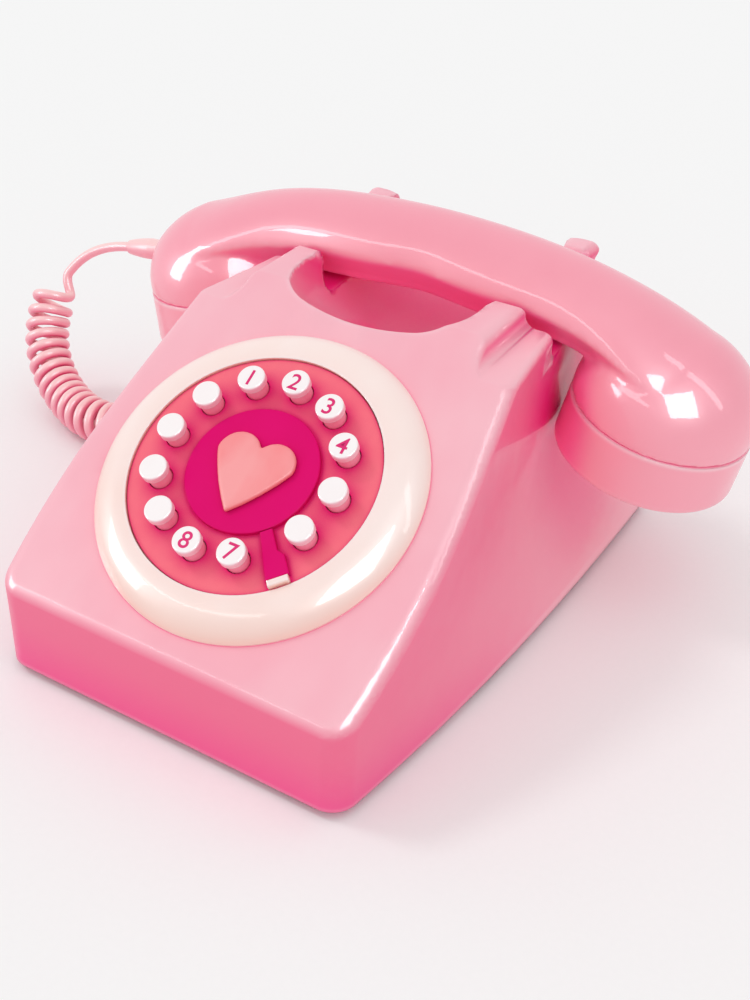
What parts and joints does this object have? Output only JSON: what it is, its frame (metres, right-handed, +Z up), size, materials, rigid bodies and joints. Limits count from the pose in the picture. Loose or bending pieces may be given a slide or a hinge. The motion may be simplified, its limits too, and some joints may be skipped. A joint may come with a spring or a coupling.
{
  "type": "push-button desk telephone",
  "caption": "Pink desk telephone with a sloping face, a ring of round push keys in a dial, a cradled handset and a curly cord.",
  "frame": {"origin": "on the table, under the middle of the telephone without its cord", "axes": "+X to the telephone's right as its user sees it, +Y to its back, +Z up"},
  "size_m": [0.3101, 0.212, 0.118],
  "materials": {
    "case_pink": "gloss",
    "handset_pink": "gloss",
    "cream": "gloss",
    "coral": "satin",
    "magenta": "gloss",
    "heart_pink": "satin",
    "key_white": "gloss",
    "base_pink": "matte",
    "foot_rubber": "matte",
    "screw_steel": "satin",
    "steel": "satin",
    "board_green": "satin",
    "dark_plastic": "satin",
    "mat_grey": "matte",
    "cord_pink": "satin"
  },
  "bodies": {
    "base": {"case": "case_pink", "base_plate": "base_pink", "rubber_feet": "foot_rubber", "base_screws": "screw_steel", "ballast_weight": "steel", "dial_ring": "cream", "dial_clamp": "dark_plastic", "dial_plate": "coral", "hub_disc": "magenta", "heart_badge": "heart_pink", "finger_stop": "magenta", "finger_stop_tip": "cream", "keypad_mat": "mat_grey", "keypad_board": "board_green", "keypad_screws": "screw_steel", "hook_bracket": "steel", "hook_pin": "screw_steel", "hook_switch": "dark_plastic", "main_board": "board_green", "main_board_screws": "screw_steel", "ringer": "dark_plastic", "board_chip": "dark_plastic", "line_socket": "dark_plastic", "cord_gland": "cord_pink", "handset_cord": "cord_pink"},
    "handset": {"handset_shell": "handset_pink", "ear_cap": "handset_pink", "mouth_cap": "handset_pink", "receiver_capsule": "dark_plastic", "microphone_capsule": "dark_plastic", "handset_boot": "cord_pink"},
    "plunger_left": {"plunger_left": "case_pink"},
    "plunger_right": {"plunger_right": "case_pink"},
    "hook_lever": {"hook_lever": "steel"},
    "key_01": {"key_01": "key_white"},
    "key_02": {"key_02": "key_white"},
    "key_03": {"key_03": "key_white"},
    "key_04": {"key_04": "key_white"},
    "key_05": {"key_05": "key_white"},
    "key_06": {"key_06": "key_white"},
    "key_07": {"key_07": "key_white"},
    "key_08": {"key_08": "key_white"},
    "key_09": {"key_09": "key_white"},
    "key_10": {"key_10": "key_white"},
    "key_11": {"key_11": "key_white"},
    "key_12": {"key_12": "key_white"}
  },
  "joints": [
    {"name": "handset_lift", "type": "slide", "parent": "base", "child": "handset", "axis": [0, 0, 1], "range_m": [0, 0.1], "deforming": ["handset_cord"]},
    {"name": "plunger_left_rise", "type": "slide", "parent": "base", "child": "plunger_left", "axis": [0, 0, 1], "range_m": [0, 0.004]},
    {"name": "plunger_right_rise", "type": "slide", "parent": "base", "child": "plunger_right", "axis": [0, 0, 1], "range_m": [0, 0.004]},
    {"name": "hook_lever_turn", "type": "hinge", "parent": "base", "child": "hook_lever", "pos_m": [0, 0.032, 0.052], "axis": [1, 0, 0], "range_deg": [0, 7.6]},
    {"name": "key_01_press", "type": "slide", "parent": "base", "child": "key_01", "axis": [0, 0.5165, -0.8563], "range_m": [0, 0.002], "stiffness_N_per_m": 200, "springref_m": -0.0015},
    {"name": "key_02_press", "type": "slide", "parent": "base", "child": "key_02", "axis": [0, 0.5165, -0.8563], "range_m": [0, 0.002], "stiffness_N_per_m": 200, "springref_m": -0.0015},
    {"name": "key_03_press", "type": "slide", "parent": "base", "child": "key_03", "axis": [0, 0.5165, -0.8563], "range_m": [0, 0.002], "stiffness_N_per_m": 200, "springref_m": -0.0015},
    {"name": "key_04_press", "type": "slide", "parent": "base", "child": "key_04", "axis": [0, 0.5165, -0.8563], "range_m": [0, 0.002], "stiffness_N_per_m": 200, "springref_m": -0.0015},
    {"name": "key_05_press", "type": "slide", "parent": "base", "child": "key_05", "axis": [0, 0.5165, -0.8563], "range_m": [0, 0.002], "stiffness_N_per_m": 200, "springref_m": -0.0015},
    {"name": "key_06_press", "type": "slide", "parent": "base", "child": "key_06", "axis": [0, 0.5165, -0.8563], "range_m": [0, 0.002], "stiffness_N_per_m": 200, "springref_m": -0.0015},
    {"name": "key_07_press", "type": "slide", "parent": "base", "child": "key_07", "axis": [0, 0.5165, -0.8563], "range_m": [0, 0.002], "stiffness_N_per_m": 200, "springref_m": -0.0015},
    {"name": "key_08_press", "type": "slide", "parent": "base", "child": "key_08", "axis": [0, 0.5165, -0.8563], "range_m": [0, 0.002], "stiffness_N_per_m": 200, "springref_m": -0.0015},
    {"name": "key_09_press", "type": "slide", "parent": "base", "child": "key_09", "axis": [0, 0.5165, -0.8563], "range_m": [0, 0.002], "stiffness_N_per_m": 200, "springref_m": -0.0015},
    {"name": "key_10_press", "type": "slide", "parent": "base", "child": "key_10", "axis": [0, 0.5165, -0.8563], "range_m": [0, 0.002], "stiffness_N_per_m": 200, "springref_m": -0.0015},
    {"name": "key_11_press", "type": "slide", "parent": "base", "child": "key_11", "axis": [0, 0.5165, -0.8563], "range_m": [0, 0.002], "stiffness_N_per_m": 200, "springref_m": -0.0015},
    {"name": "key_12_press", "type": "slide", "parent": "base", "child": "key_12", "axis": [0, 0.5165, -0.8563], "range_m": [0, 0.002], "stiffness_N_per_m": 200, "springref_m": -0.0015}
  ],
  "couplings": [
    {"joint": "plunger_left_rise", "follows": "handset_lift", "ratio": 0.04},
    {"joint": "plunger_right_rise", "follows": "handset_lift", "ratio": 0.04},
    {"joint": "hook_lever_turn", "follows": "handset_lift", "rad_per_m": 1.3}
  ]
}
